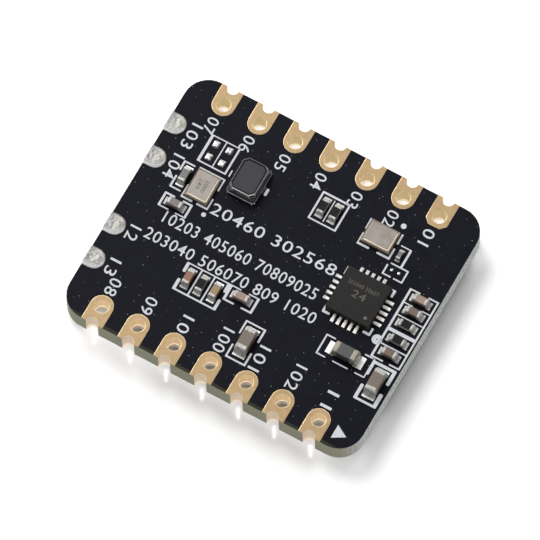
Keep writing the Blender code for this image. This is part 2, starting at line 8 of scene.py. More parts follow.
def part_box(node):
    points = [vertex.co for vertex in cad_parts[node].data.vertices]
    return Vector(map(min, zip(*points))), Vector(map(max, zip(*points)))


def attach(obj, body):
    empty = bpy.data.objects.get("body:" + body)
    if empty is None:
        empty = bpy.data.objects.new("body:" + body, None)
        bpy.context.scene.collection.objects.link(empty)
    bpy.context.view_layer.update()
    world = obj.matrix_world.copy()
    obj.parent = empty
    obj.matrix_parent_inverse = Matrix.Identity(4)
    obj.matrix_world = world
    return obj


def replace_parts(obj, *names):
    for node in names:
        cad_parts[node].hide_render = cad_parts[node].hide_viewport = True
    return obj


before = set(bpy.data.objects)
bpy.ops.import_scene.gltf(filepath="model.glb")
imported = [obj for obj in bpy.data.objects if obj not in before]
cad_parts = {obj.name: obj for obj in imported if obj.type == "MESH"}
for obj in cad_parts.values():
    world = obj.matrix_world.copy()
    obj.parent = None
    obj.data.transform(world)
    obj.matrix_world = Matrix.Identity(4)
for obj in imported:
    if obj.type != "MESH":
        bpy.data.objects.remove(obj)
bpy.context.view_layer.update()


# Circuit board
# A slab of glass-epoxy laminate under a skin of black solder mask. It is routed out of a panel, which leaves
# the sides bare, and the mask stops a little short of the near long edge.

MM = 0.001


def linear(colour):
    """A colour as read off a screen, 0 to 255, as linear light."""
    shares = [value / 255 for value in colour]
    return (*(s / 12.92 if s <= 0.04 else ((s + 0.055) / 1.055) ** 2.4 for s in shares), 1.0)


def feed(tree, node, inputs):
    """Gives a node's inputs their values, other nodes' outputs, or colours as read off a screen."""
    for name, value in dict(inputs).items():
        socket = node.inputs[name]
        if isinstance(value, bpy.types.NodeSocket):
            tree.links.new(value, socket)
        elif socket.type == "RGBA" and len(value) == 3:
            socket.default_value = linear(value)
        else:
            socket.default_value = value


def add_node(tree, kind, inputs=(), **settings):
    """A new shader node with its settings and inputs."""
    node = tree.nodes.new("ShaderNode" + kind)
    for setting, value in settings.items():
        setattr(node, setting, value)
    feed(tree, node, inputs)
    return node


def reckoned(tree, operation, *values):
    """The result of a Math node."""
    return add_node(tree, "Math", enumerate(values), operation=operation).outputs["Value"]


def mixed(tree, factor, first, second, data_type="RGBA", **settings):
    """Goes from the first to the second as the factor goes from 0 to 1."""
    inputs = {"Factor": factor, "A": first, "B": second}
    return add_node(tree, "Mix", inputs, data_type=data_type, **settings).outputs["Result"]


def ramped(tree, value, low, high, to=(0.0, 1.0), **settings):
    """Goes from the first of two numbers to the other as the value goes from low to high."""
    inputs = {"Value": value, "From Min": low, "From Max": high, "To Min": to[0], "To Max": to[1]}
    return add_node(tree, "MapRange", inputs, **settings).outputs["Result"]


def object_place(tree):
    """Where a point lies on the object, in metres."""
    return add_node(tree, "TexCoord").outputs["Object"]


def true_normal(tree):
    """The way a face points."""
    return add_node(tree, "NewGeometry").outputs["True Normal"]


def split(tree, vector):
    """The X, Y and Z of a vector."""
    return add_node(tree, "SeparateXYZ", {"Vector": vector}).outputs


def noise(tree, place, scale, detail=2.0):
    """Values round 0.5 that wander from place to place."""
    inputs = {"Vector": place, "Scale": scale, "Detail": detail}
    return add_node(tree, "TexNoise", inputs).outputs["Fac"]


def shader_group(name, inputs, outputs):
    """A new node group with what goes into it and its last node. Sockets are given as name and kind."""
    tree = bpy.data.node_groups.new(name, "ShaderNodeTree")
    for in_out, sockets in (("INPUT", inputs), ("OUTPUT", outputs)):
        for socket, kind in sockets.items():
            tree.interface.new_socket(socket, in_out=in_out, socket_type="NodeSocket" + kind)
    return tree, tree.nodes.new("NodeGroupInput").outputs, tree.nodes.new("NodeGroupOutput")


noise_low = 0.32
noise_high = 0.68


def surface_grain_group():
    """Colour, roughness and relief that follow one fine grain."""
    tree, given, result = shader_group(
        "surface_grain",
        {"Vector": "Vector", "Scale": "Float", "Dark": "Color", "Light": "Color", "Polished": "Float",
         "Matt": "Float", "Relief": "Float"},
        {"Color": "Color", "Roughness": "Float", "Normal": "Vector"})
    grain = noise(tree, given["Vector"], given["Scale"], detail=4.0)
    spread = ramped(tree, grain, noise_low, noise_high)
    feed(tree, result, {
        "Color": mixed(tree, spread, given["Dark"], given["Light"]),
        "Roughness": mixed(tree, spread, given["Polished"], given["Matt"], "FLOAT"),
        "Normal": add_node(tree, "Bump", {"Distance": given["Relief"], "Height": grain}).outputs["Normal"]})
    return tree


surface_grain = surface_grain_group()


def grained(name, dark, light, grain, rough=(0.4, 0.55), relief=0.003, metallic=0.0, specular=0.5):
    """A material with a fine grain. The grain's size and relief are in millimetres."""
    material = bpy.data.materials.new(name)
    material.use_nodes = True
    tree = material.node_tree
    polished, matt = rough
    skin = add_node(tree, "Group", {
        "Vector": object_place(tree), "Scale": 1.0 / (grain * MM), "Dark": dark, "Light": light,
        "Polished": polished, "Matt": matt, "Relief": relief * MM}, node_tree=surface_grain, name="skin")
    feed(tree, tree.nodes["Principled BSDF"], {
        "Metallic": metallic, "Specular IOR Level": specular, "Base Color": skin.outputs["Color"],
        "Roughness": skin.outputs["Roughness"], "Normal": skin.outputs["Normal"]})
    return material


def nodes_of(material):
    """A grained material's node tree, what its grain gives, and its shader."""
    tree = material.node_tree
    return tree, tree.nodes["skin"].outputs, tree.nodes["Principled BSDF"]


def give_materials(piece, *materials):
    """Puts these materials in a piece's slots in place of those it has."""
    piece.data.materials.clear()
    for material in materials:
        piece.data.materials.append(material)


board_low, board_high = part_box("circuit_board")
board_top = board_high.z
mask_to_edge = 0.2 * MM
mask_wander = 0.12 * MM
bare_strip = (48, 47, 36)
side_dark = (120, 120, 102)
side_light = (156, 155, 138)
end_dark = (148, 152, 148)
end_light = (208, 211, 207)
laminate_roughness = 0.75
fibre_layers = (1.0, 1.0, 9.0)
fibre_scale = 2.2 / MM
crumb_scale = 7.0 / MM
crumb_low = 0.36
crumb_high = 0.64
wander_scale = 2.0 / MM
dust_scale = 1.3 / MM
dust_grey = (126, 128, 137)
dust_radius = 0.038


def board_material():
    """Black mask on the level faces and bare laminate on the cut ones."""
    material = grained(
        "solder_mask_and_laminate", (12, 13, 21), (17, 18, 27), grain=0.9, rough=(0.36, 0.46), relief=0.002,
        specular=0.045)
    tree, mask, shader = nodes_of(material)
    here = object_place(tree)
    facing = split(tree, true_normal(tree))

    # Glass fibre runs along the side in thin layers
    layers = add_node(tree, "Mapping", {"Vector": here, "Scale": fibre_layers}).outputs["Vector"]
    laminate = mixed(tree, noise(tree, layers, fibre_scale, detail=5.0), side_dark, side_light)

    # The short ends are cut across the weave, which leaves them coarser and a little paler. The rest of their
    # paleness is painted light that lifts the right end out of its shade
    crumbs = ramped(tree, noise(tree, here, crumb_scale, detail=4.0), crumb_low, crumb_high)
    end_grain = mixed(tree, crumbs, end_dark, end_light)
    towards_end = reckoned(tree, "POWER", reckoned(tree, "ABSOLUTE", facing["X"]), 4.0)
    cut = mixed(tree, towards_end, laminate, end_grain)

    # Fine dust lies scattered over the mask
    dust = add_node(tree, "TexVoronoi", {"Vector": here, "Scale": dust_scale}, voronoi_dimensions="2D")
    size = add_node(tree, "SeparateColor", {"Color": dust.outputs["Color"]}).outputs["Red"]
    speck_radius = reckoned(tree, "MULTIPLY", size, dust_radius)
    speck = reckoned(tree, "LESS_THAN", dust.outputs["Distance"], speck_radius)
    dusted = mixed(tree, speck, mask["Color"], dust_grey)

    # The mask ends in a slightly uneven line along the near edge
    wander = reckoned(tree, "MULTIPLY", noise(tree, here, wander_scale), mask_wander)
    reach = reckoned(tree, "ADD", reckoned(tree, "MULTIPLY", split(tree, here)["Y"], -1.0), wander)
    strip = reckoned(tree, "GREATER_THAN", reach, board_high.y - mask_to_edge + mask_wander / 2)
    masked = mixed(tree, strip, dusted, bare_strip)

    side = reckoned(tree, "LESS_THAN", reckoned(tree, "ABSOLUTE", facing["Z"]), 0.5)
    feed(tree, shader, {
        "Base Color": mixed(tree, side, masked, cut),
        "Roughness": mixed(tree, side, mask["Roughness"], laminate_roughness, "FLOAT")})
    return material


give_materials(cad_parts["circuit_board"], board_material())


# Edge contacts
# Copper plated with nickel and gold over both lands and through the drilled hole and the half hole, etched
# and plated with the board. The routing cuts the outer holes in half.

weld_distance = 0.0005 * MM
weld_angle = radians(1)
wall_upto = 0.2
level_from = 0.985
flat_from = 0.999
pitch = 2.54 * MM
row_distance = 7.62 * MM
hole_clearance = 0.6 * MM
plating_edge = 0.012 * MM
soft_rim = 0.03 * MM
half_hole_clear = 0.55 * MM
# Hole wall colours with painted light in them: paler where lit, greyer where the lower wall takes a painted
# reflection of the shaded table, and darker in the far row's half holes
far_wall = (220, 202, 162)
pale_wall = (240, 222, 190)
grey_wall = (214, 202, 184)
open_wall = (230, 209, 181)
shaded_wall = (196, 168, 124)

# Heights over the board's underside where the painted light on a wall changes, and that painted light
# and painted reflection as glows in linear colours
mirrored_near = 0.46 * MM
mirrored_ring = 0.1 * MM
mirrored_far = 0.3 * MM
lit_foot = 0.3 * MM
edge_softness = 0.02 * MM
black = (0.0, 0.0, 0.0, 1.0)
near_glow = (0.07, 0.058, 0.04, 1.0)
ring_glow = (0.8, 0.77, 0.7, 1.0)
mirror_glow = (0.03, 0.03, 0.03, 1.0)
far_glow = (0.1, 0.095, 0.065, 1.0)
far_mirror_glow = (0.45, 0.43, 0.4, 1.0)
foot_glow = (0.28, 0.27, 0.25, 1.0)


def by_facing_group():
    """One colour for level faces, one for the slopes of a rounded edge and one for walls."""
    tree, given, result = shader_group(
        "by_facing", {"Level": "Color", "Slope": "Color", "Wall": "Color"},
        {"Color": "Color", "Not Wall": "Float", "Sloped": "Float"})
    upward = reckoned(tree, "ABSOLUTE", split(tree, true_normal(tree))["Z"])
    not_wall = reckoned(tree, "GREATER_THAN", upward, wall_upto)
    level = reckoned(tree, "GREATER_THAN", upward, level_from)
    slope_or_wall = mixed(tree, not_wall, given["Wall"], given["Slope"])
    feed(tree, result, {
        "Color": mixed(tree, level, slope_or_wall, given["Level"]), "Not Wall": not_wall,
        "Sloped": reckoned(tree, "SUBTRACT", not_wall, level)})
    return tree


by_facing = by_facing_group()


def edged(name, dark, light, slope, wall, metallic=0.0, **finish):
    """A grained material with other colours on its rounded edges and walls. A metal's edges shine most."""
    material = grained(name, dark, light, metallic=metallic, **finish)
    tree, skin, shader = nodes_of(material)
    colours = {"Level": skin["Color"], "Slope": slope, "Wall": wall}
    sides = add_node(tree, "Group", colours, node_tree=by_facing, name="sides").outputs
    feed(tree, shader, {"Base Color": sides["Color"]})
    if metallic:
        level = reckoned(tree, "MULTIPLY", sides["Not Wall"], metallic)
        feed(tree, shader, {"Metallic": reckoned(tree, "MAXIMUM", level, sides["Sloped"])})
    return material


def only(piece):
    """Leaves one piece selected and active."""
    bpy.ops.object.select_all(action="DESELECT")
    piece.select_set(True)
    bpy.context.view_layer.objects.active = piece


def fit_out(piece, slot, *materials):
    """Gives a finished piece its materials, in the order of its slots, and lets it ride on the module."""
    face_slots = [face.material_index if len(materials) > 1 else 0 for face in piece.data.polygons]
    give_materials(piece, *materials)
    piece.data.polygons.foreach_set("material_index", face_slots)
    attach(piece, "root")
    return piece


def new_object(name, data):
    """A mesh, lamp or camera as an object in the scene."""
    added = bpy.data.objects.new(name, data)
    bpy.context.scene.collection.objects.link(added)
    return added


def copied(piece, name, matrix):
    """A copy with a mesh of its own, put in place in its mesh."""
    twin = new_object(name, piece.data.copy())
    twin.data.transform(matrix)
    return twin


@contextmanager
def whole_mesh(piece):
    """Edit mode with all of a piece's mesh selected."""
    only(piece)
    bpy.ops.object.mode_set(mode="EDIT")
    bpy.ops.mesh.select_all(action="SELECT")
    yield
    bpy.ops.object.mode_set(mode="OBJECT")


def merged_copy(node, name):
    """The solid of a node as one welded mesh."""
    piece = copied(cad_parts[node], name, Matrix())
    with whole_mesh(piece):
        bpy.ops.mesh.remove_doubles(threshold=weld_distance)
        bpy.ops.mesh.dissolve_limited(angle_limit=weld_angle)
    return piece


def bevel_edges(piece, wanted, offset, segments, profile=0.5):
    """Rounds only those edges whose two ends are wanted."""
    only(piece)
    bpy.ops.object.mode_set(mode="EDIT")
    bpy.ops.mesh.select_mode(type="EDGE")
    bpy.ops.mesh.select_all(action="DESELECT")
    bpy.ops.object.mode_set(mode="OBJECT")
    ends = piece.data.vertices
    for edge in piece.data.edges:
        edge.select = wanted(ends[edge.vertices[0]].co, ends[edge.vertices[1]].co)
    bpy.ops.object.mode_set(mode="EDIT")
    bpy.ops.mesh.bevel(offset=offset, segments=segments, profile=profile)
    bpy.ops.object.mode_set(mode="OBJECT")


def shaped(piece, kind, **settings):
    """Adds a modifier with its settings and applies it."""
    only(piece)
    modifier = piece.modifiers.new(kind.lower(), kind)
    for setting, value in settings.items():
        setattr(modifier, setting, value)
    bpy.ops.object.modifier_apply(modifier=modifier.name)


def round_edges(piece, width, segments=2, angle=35, smooth=60, edge_slot=-1):
    """Rounds the sharp edges. Level faces are shaded flat, and the others smooth up to that angle."""
    shaped(piece, "BEVEL", material=edge_slot, width=width, segments=segments, limit_method="ANGLE",
           angle_limit=radians(angle))
    bpy.ops.object.shade_smooth_by_angle(angle=radians(smooth))
    for face in piece.data.polygons:
        if abs(face.normal.z) > flat_from:
            face.use_smooth = False
    shaped(piece, "WEIGHTED_NORMAL", keep_sharp=True)


def gold_material():
    """Tan lands with painted rim highlights; the hole walls carry painted light, glows and a painted table
    reflection.
    """
    # The paler slope colour is a painted highlight along the lands' rims
    material = edged(
        "contact_gold", (140, 116, 79), (155, 130, 93), (222, 197, 156), pale_wall, metallic=0.4,
        grain=0.35, rough=(0.4, 0.5), relief=0.002)
    tree, _, shader = nodes_of(material)
    sides = tree.nodes["sides"]
    where = split(tree, object_place(tree))

    def below(height, softness=edge_softness):
        """1 under that height above the board's underside, 0 over it."""
        level = board_low.z + height
        return ramped(tree, where["Z"], level - softness, level + softness, to=(1.0, 0.0),
                      interpolation_type="SMOOTHSTEP")

    # The walls' colours change with row and height as painted light and shade
    far_row = reckoned(tree, "GREATER_THAN", where["Y"], 0.0)
    from_middle = reckoned(tree, "ABSOLUTE", where["Y"])
    drilled = reckoned(tree, "LESS_THAN", from_middle, row_distance + hole_clearance)
    mirrors_table = below(mirrored_near)
    drilled_wall = mixed(tree, far_row, mixed(tree, mirrors_table, pale_wall, grey_wall), far_wall)
    half_wall = mixed(tree, far_row, open_wall, shaded_wall)
    feed(tree, sides, {"Wall": mixed(tree, drilled, half_wall, drilled_wall)})

    # Glows on the walls: painted light, a bright painted ring low in the near holes, and a painted reflection
    # of the lit table in the far row
    ring_lit = mixed(tree, mirrors_table, ring_glow, mirror_glow)
    near_lit = mixed(tree, below(mirrored_near + mirrored_ring), near_glow, ring_lit)
    far_lit = mixed(tree, below(mirrored_far), far_glow, far_mirror_glow)
    foot_lit = mixed(tree, below(lit_foot, lit_foot), black, foot_glow)
    drilled_lit = mixed(tree, far_row, near_lit, far_lit)
    half_lit = mixed(tree, far_row, foot_lit, black)
    walls_lit = mixed(tree, drilled, half_lit, drilled_lit)
    feed(tree, shader, {
        "Emission Color": mixed(tree, sides.outputs["Not Wall"], walls_lit, black), "Emission Strength": 1.0})
    return material


gold = gold_material()
contact_count = len([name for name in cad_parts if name.startswith("edge_contact_")])
contacts_per_row = contact_count // 2
middle_index = contacts_per_row // 2


def middle_of(node):
    """The middle of a node's box."""
    low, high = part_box(node)
    return (low + high) / 2


def plated(node, name):
    """A contact with soft rims on its top land and fine ones elsewhere. The half hole's rim stays crisp."""
    contact = merged_copy(node, name)
    low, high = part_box(node)
    half_hole = Vector(((low.x + high.x) / 2, high.y if high.y > 0 else low.y, high.z))

    def on_rim(point):
        return point.z > high.z - plating_edge / 4 and (point - half_hole).length > half_hole_clear

    bevel_edges(contact, lambda a, b: on_rim(a) and on_rim(b), soft_rim, segments=3)
    round_edges(contact, plating_edge, smooth=20)
    return contact


first_contact = plated("edge_contact_01", "contact_01")
second_contact = plated("edge_contact_02", "contact_02")
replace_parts(fit_out(first_contact, "contact_gold", gold), "edge_contact_01")
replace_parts(fit_out(second_contact, "contact_gold", gold), "edge_contact_02")
to_origin = Matrix.Translation(-middle_of("edge_contact_02"))
for number in range(3, contact_count + 1):
    node = f"edge_contact_{number:02d}"
    turn = Matrix.Rotation(0.0 if number <= contacts_per_row else pi, 4, "Z")
    contact = copied(
        second_contact, f"contact_{number:02d}", Matrix.Translation(middle_of(node)) @ turn @ to_origin)
    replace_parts(fit_out(contact, "contact_gold", gold), node)


# Tinned side pads and empty pads
# Copper pads tinned with solder: four big ones along the left edge, where wires can be soldered, and small
# ones with no part fitted. The solder froze with a dull, uneven skin.

def turned_faces_group():
    """A painted highlight where a face is turned in a direction, and how far it is turned, from -1 to 1."""
    tree, given, result = shader_group(
        "turned_faces",
        {"Color": "Color", "Bright": "Color", "Direction": "Vector", "Least": "Float", "Most": "Float"},
        {"Color": "Color", "Turned": "Float"})
    product = add_node(
        tree, "VectorMath", {0: true_normal(tree), 1: given["Direction"]}, operation="DOT_PRODUCT")
    how_far = product.outputs["Value"]
    amount = ramped(tree, how_far, given["Least"], given["Most"], interpolation_type="SMOOTHSTEP")
    feed(tree, result, {"Color": mixed(tree, amount, given["Color"], given["Bright"]), "Turned": how_far})
    return tree


turned_faces = turned_faces_group()
mostly_front = (0.45, -0.89, 0.0)


def painted_front_highlight(tree, colour, bright, least, most):
    """A painted highlight: a colour goes over to a brighter one where a face is turned to the front."""
    inputs = {"Color": colour, "Bright": bright, "Direction": mostly_front, "Least": least, "Most": most}
    return add_node(tree, "Group", inputs, node_tree=turned_faces).outputs["Color"]


side_pad_low, side_pad_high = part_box("side_pad_1")


def side_solder():
    """Dull on top, a little yellow from the flux at the inner end, and a painted highlight where it falls to
    the front.
    """
    material = grained(
        "dull_solder", (78, 77, 77), (126, 125, 124), grain=0.22, rough=(0.24, 0.44), relief=0.008,
        metallic=0.35)
    tree, skin, shader = nodes_of(material)
    inwards = ramped(tree, split(tree, object_place(tree))["X"], side_pad_low.x, side_pad_high.x)
    fluxed = mixed(tree, inwards, skin["Color"], (152, 149, 139), blend_type="SCREEN")
    feed(tree, shader, {"Base Color": painted_front_highlight(tree, fluxed, (232, 230, 229), least=0.04, most=0.4)})
    return material


def uneven(piece, voxel, unevenness, smoothing):
    """Turns a plain shape into a lump of frozen solder."""
    clouds = bpy.data.textures.new(piece.name + "_skin", "CLOUDS")
    clouds.noise_scale = 5 * voxel
    shaped(piece, "REMESH", mode="VOXEL", voxel_size=voxel)
    shaped(piece, "DISPLACE", texture=clouds, texture_coords="GLOBAL", strength=unevenness)
    shaped(piece, "SMOOTH", iterations=smoothing)
    bpy.ops.object.shade_smooth()


dull_solder = side_solder()
# The darker slope and wall colours of the empty pads are painted shade round the rim of each dome
pad_solder = edged(
    "pad_solder", (112, 112, 113), (236, 236, 236), (134, 133, 132), (90, 90, 90), metallic=0.3,
    grain=0.17, rough=(0.22, 0.36), relief=0.004)
for pad, name, count, voxel, unevenness, smoothing, material in (
    ("side_pad", "side_solder", 4, 0.035 * MM, 0.03 * MM, 4, dull_solder),
    ("empty_pad", "empty_pad_solder", 4, 0.016 * MM, 0.02 * MM, 60, pad_solder),
    ("small_pad", "small_pad_solder", 2, 0.012 * MM, 0.008 * MM, 20, pad_solder),
):
    for number in range(1, count + 1):
        piece = merged_copy(f"{pad}_{number}", f"{name}_{number}")
        uneven(piece, voxel, unevenness, smoothing)
        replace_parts(fit_out(piece, "solder", material), f"{pad}_{number}")


# Leadless packages: the controller on top and the radar transceiver underneath
# Each is a square of epoxy moulded over its die, sawn from a strip, with a dimple at the first pin. Solder
# has climbed its lands and run out to a toe on the pads.

moulding = edged(
    "package_moulding", (24, 23, 22), (34, 32, 31), (52, 50, 47), (26, 25, 24),
    grain=0.05, rough=(0.5, 0.62), relief=0.004, specular=0.12)
dimple_grey = grained("dimple_floor", (66, 63, 62), (84, 81, 79), grain=0.05, rough=(0.45, 0.6), relief=0.002)
grey_solder = grained(
    "grey_solder", (152, 150, 147), (200, 198, 194), grain=0.12, rough=(0.3, 0.44), relief=0.006,
    metallic=0.15)
# Painted light: a paler copy of the solder for the rows on the right and front, which lie in the body's shade
shade_lifted_solder = grained(
    "shade_lifted_solder", (238, 232, 224), (254, 251, 246), grain=0.12, rough=(0.3, 0.44), relief=0.006,
    metallic=0.1)
sawn_edge = 0.02 * MM
body_lift = 0.02 * MM
dimple_radius = 0.12 * MM
dimple_depth = 0.04 * MM
floor_thickness = 0.012 * MM
floor_fit = 0.96
land_pitch = 0.4 * MM
land_width = 0.22 * MM
solder_height = 0.13 * MM
solder_toe = 0.06 * MM
solder_inside = 0.03 * MM
solder_edge = 0.018 * MM
solder_fall = 3.5
solder_narrowing = 0.45


def settled(name, add_primitive, **settings):
    """A new primitive, alone in the selection and with its place in its mesh."""
    bpy.ops.object.select_all(action="DESELECT")
    add_primitive(**settings)
    piece = bpy.context.object
    piece.name = name
    bpy.ops.object.transform_apply(location=True, rotation=True, scale=True)
    return piece


def block(name, corner, opposite):
    """A cuboid between two opposite corners."""
    middle = [(a + b) / 2 for a, b in zip(corner, opposite)]
    size = [abs(b - a) for a, b in zip(corner, opposite)]
    return settled(name, bpy.ops.mesh.primitive_cube_add, size=1.0, location=middle, scale=size)


def disc(name, radius, depth, middle, sides=32, turn=0.0):
    """A flat cylinder."""
    return settled(name, bpy.ops.mesh.primitive_cylinder_add, vertices=sides, radius=radius, depth=depth,
                   location=middle, rotation=(0.0, 0.0, turn))


def combined(piece, other, operation, use_self=False):
    """Cuts another body out of a piece, or melts it in."""
    shaped(piece, "BOOLEAN", operation=operation, object=other, use_self=use_self)
    bpy.data.objects.remove(other)


def joined(name, pieces):
    """Several separate bodies in one mesh."""
    only(pieces[0])
    for piece in pieces:
        piece.select_set(True)
    bpy.ops.object.join()
    pieces[0].name = name
    return pieces[0]


def land_solder(reach):
    """A fillet along +X, high and narrow at the package's side at the origin, low and wide at its toe."""
    piece = block(
        "land_solder", (-solder_inside, -land_width / 2, 0), (reach, land_width / 2, solder_height))
    with whole_mesh(piece):
        bpy.ops.mesh.subdivide(number_cuts=3)
    for vertex in piece.data.vertices:
        left = 1 - min(1.0, max(0.0, vertex.co.x / reach))
        share = vertex.co.z / solder_height
        vertex.co.z = share * (solder_toe + (solder_height - solder_toe) * left ** solder_fall)
        vertex.co.y *= 1 - solder_narrowing * share * left ** 2
    round_edges(piece, solder_edge, angle=50)
    return piece


def leadless(node, name, package_size, lands, dimple_at, upside_down=False):
    """Body, dimple floor and solder of a package. Painted light lifts the shade off the solder on its right and
    front.
    """
    low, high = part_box(node)
    height = high.z - low.z
    reach = (high.x - low.x - package_size) / 2
    half = package_size / 2
    body = block(name + "_body", (-half, -half, body_lift), (half, half, height))
    combined(body, disc("dimple", dimple_radius, 2 * dimple_depth, (*dimple_at, height)), "DIFFERENCE")
    round_edges(body, sawn_edge, segments=3)
    floor_disc = disc(
        name + "_dimple", floor_fit * dimple_radius, floor_thickness,
        (*dimple_at, height - dimple_depth + floor_thickness / 2))
    round_edges(floor_disc, floor_thickness / 4)

    pattern = land_solder(reach)
    rows = []
    for side in range(4):
        fillets = []
        for land in range(lands):
            along = (land - (lands - 1) / 2) * land_pitch
            matrix = Matrix.Rotation(side * pi / 2, 4, "Z") @ Matrix.Translation((half, along, 0.0))
            fillets.append(copied(pattern, "fillet", matrix))
        rows.append(joined(f"{name}_solder_{side + 1}", fillets))
    bpy.data.objects.remove(pattern)

    middle = middle_of(node)
    seat = Matrix.Translation((middle.x, middle.y, high.z if upside_down else low.z))
    for piece in (body, floor_disc, *rows):
        piece.data.transform(seat @ Matrix.Rotation(pi if upside_down else 0.0, 4, "X"))
    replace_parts(fit_out(body, "package_moulding", moulding), node)
    fit_out(floor_disc, "package_moulding", dimple_grey)
    for row, solder in zip(rows, (shade_lifted_solder, grey_solder, grey_solder, shade_lifted_solder)):
        fit_out(row, "solder", solder)


leadless("controller_chip", "controller", 3.0 * MM, lands=5, dimple_at=(1.04 * MM, -1.04 * MM))
leadless("radar_chip", "radar", 4.0 * MM, lands=8, dimple_at=(-1.54 * MM, 1.54 * MM), upside_down=True)


# Power inductor
# A drum pressed from ferrite powder, ground flat on its cap, with a resin coat over the winding. Its edges
# are worn pale by tumbling, with a painted highlight where they turn to the front, and it is soldered by the
# plated ends of its foot.

ferrite = grained("ferrite", (36, 37, 40), (47, 48, 51), grain=0.06, specular=0.2)
# The drum's walls are painted paler than its cap, as painted light that lifts their shade
shade_lifted_ferrite = grained(
    "shade_lifted_ferrite", (46, 46, 49), (66, 66, 69), grain=0.05, relief=0.004, specular=0.15)
# A darker ring round the edge of the cap's flat
cap_rim_ferrite = grained(
    "cap_rim_ferrite", (25, 26, 28), (35, 36, 38), grain=0.06, rough=(0.45, 0.6), specular=0.2)
resin = grained(
    "winding_resin", (42, 42, 44), (66, 65, 67), grain=0.08, rough=(0.45, 0.65), relief=0.01, specular=0.15)
rubbed_resin = grained("rubbed_resin", (84, 83, 86), (122, 120, 122), grain=0.1, relief=0.004)
frozen_solder = grained(
    "frozen_solder", (156, 153, 151), (188, 185, 183), grain=0.16, rough=(0.24, 0.36), relief=0.002,
    metallic=0.5)
edge_slot = 1
ground_slot = 2
cap_rim_slot = 3
cap_skin = 0.005 * MM
cap_rim_width = 0.12 * MM
solder_out = 0.07 * MM
solder_up = 0.1 * MM
solder_short = 0.5 * MM


def worn_and_highlight_material():
    """Dim at the back and left, with a painted highlight that makes an edge nearly white where it is turned to
    the front.
    """
    material = grained(
        "worn_edge_and_highlight", (84, 82, 84), (118, 114, 114), grain=0.1, rough=(0.4, 0.5), relief=0.002)
    tree, skin, shader = nodes_of(material)
    pale = painted_front_highlight(tree, skin["Color"], (236, 236, 240), least=0.14, most=0.7)
    feed(tree, shader, {"Base Color": pale})
    return material


def worn(node, name, materials, width, angle=35):
    """A copy of a solid with the second of its materials on its rounded edges."""
    piece = merged_copy(node, name)
    give_materials(piece, *materials)
    round_edges(piece, width, angle=angle, edge_slot=edge_slot)
    return piece


core_materials = (shade_lifted_ferrite, worn_and_highlight_material(), ferrite, cap_rim_ferrite)
core = worn("inductor_core", "drum_core", core_materials, 0.035 * MM)
cap_level = max(v.co.z for v in core.data.vertices) - cap_skin
for face in core.data.polygons:
    face.select = face.center.z > cap_level
    if face.select:
        face.material_index = ground_slot
only(core)
bpy.ops.object.mode_set(mode="EDIT")
bpy.ops.mesh.select_mode(type="FACE")
bpy.ops.mesh.inset(thickness=cap_rim_width)
bpy.ops.object.mode_set(mode="OBJECT")
for face in core.data.polygons:
    if face.center.z > cap_level and not face.select:
        face.material_index = cap_rim_slot
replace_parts(fit_out(core, "ferrite", *core_materials), "inductor_core")
coat = worn("inductor_coat", "winding_coat", (resin, rubbed_resin), 0.025 * MM, angle=20)
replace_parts(fit_out(coat, "winding_resin", resin, rubbed_resin), "inductor_coat")
foot_low, foot_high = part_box("inductor_core")
for side, edge_x, outwards in (("left", foot_low.x, -solder_out), ("right", foot_high.x, solder_out)):
    bar = block(
        "inductor_solder_" + side, (edge_x, foot_low.y + solder_short, board_top),
        (edge_x + outwards, foot_high.y - solder_short, board_top + solder_up))
    uneven(bar, voxel=0.012 * MM, unevenness=0.03 * MM, smoothing=6)
    fit_out(bar, "solder", frozen_solder)


# Quartz crystals
# A brown ceramic cup with a nickel-plated lid welded round its rim, which leaves a slope along the lid's
# edge. It is soldered by pads under its corners.

front_and_right = (0.707, -0.707, 0.0)
least_turned = 0.1
weld_slope = 0.045 * MM
case_edge = 0.02 * MM
# Painted highlight on the lid's front and right slopes, its glow, and painted shade on the back and left ones
highlight_slope = (255, 240, 212)
shaded_slope = (96, 88, 78)
slope_highlight_glow = (0.26, 0.23, 0.18, 1.0)


def lid_material():
    """Dull metal with a painted highlight and glow on the front and right slopes, and painted shade on the
    others.
    """
    material = edged(
        "crystal_lid", (115, 109, 102), (129, 122, 115), highlight_slope, (132, 110, 84), metallic=0.35,
        grain=0.5, rough=(0.32, 0.42), relief=0.002)
    tree, _, shader = nodes_of(material)
    sides = tree.nodes["sides"]
    direction = add_node(tree, "Group", {"Direction": front_and_right}, node_tree=turned_faces)
    highlighted_side = reckoned(tree, "GREATER_THAN", direction.outputs["Turned"], least_turned)
    feed(tree, sides, {"Slope": mixed(tree, highlighted_side, shaded_slope, highlight_slope)})
    highlight_amount = reckoned(tree, "MULTIPLY", highlighted_side, sides.outputs["Sloped"])
    feed(tree, shader, {"Emission Color": mixed(tree, highlight_amount, black, slope_highlight_glow), "Emission Strength": 1.0})
    return material


lid_metal = lid_material()
case_ceramic = edged(
    "crystal_case", (120, 112, 102), (136, 127, 116), (106, 92, 72), (72, 60, 45),
    grain=0.08, rough=(0.5, 0.65), relief=0.004)
for crystal in ("tall_crystal", "wide_crystal"):
    case = merged_copy(crystal + "_case", crystal + "_cup")
    round_edges(case, case_edge)
    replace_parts(fit_out(case, "crystal_case", case_ceramic), crystal + "_case")
    lid = merged_copy(crystal + "_lid", crystal + "_cover")
    round_edges(lid, weld_slope, angle=20)
    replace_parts(fit_out(lid, "crystal_lid", lid_metal), crystal + "_lid")


# Chip capacitors, resistors and the bead
# Each is a block of fired ceramic with a tinned cap on both ends, reflowed onto its pads. The resistors are
# white alumina with a black glass glaze on top.

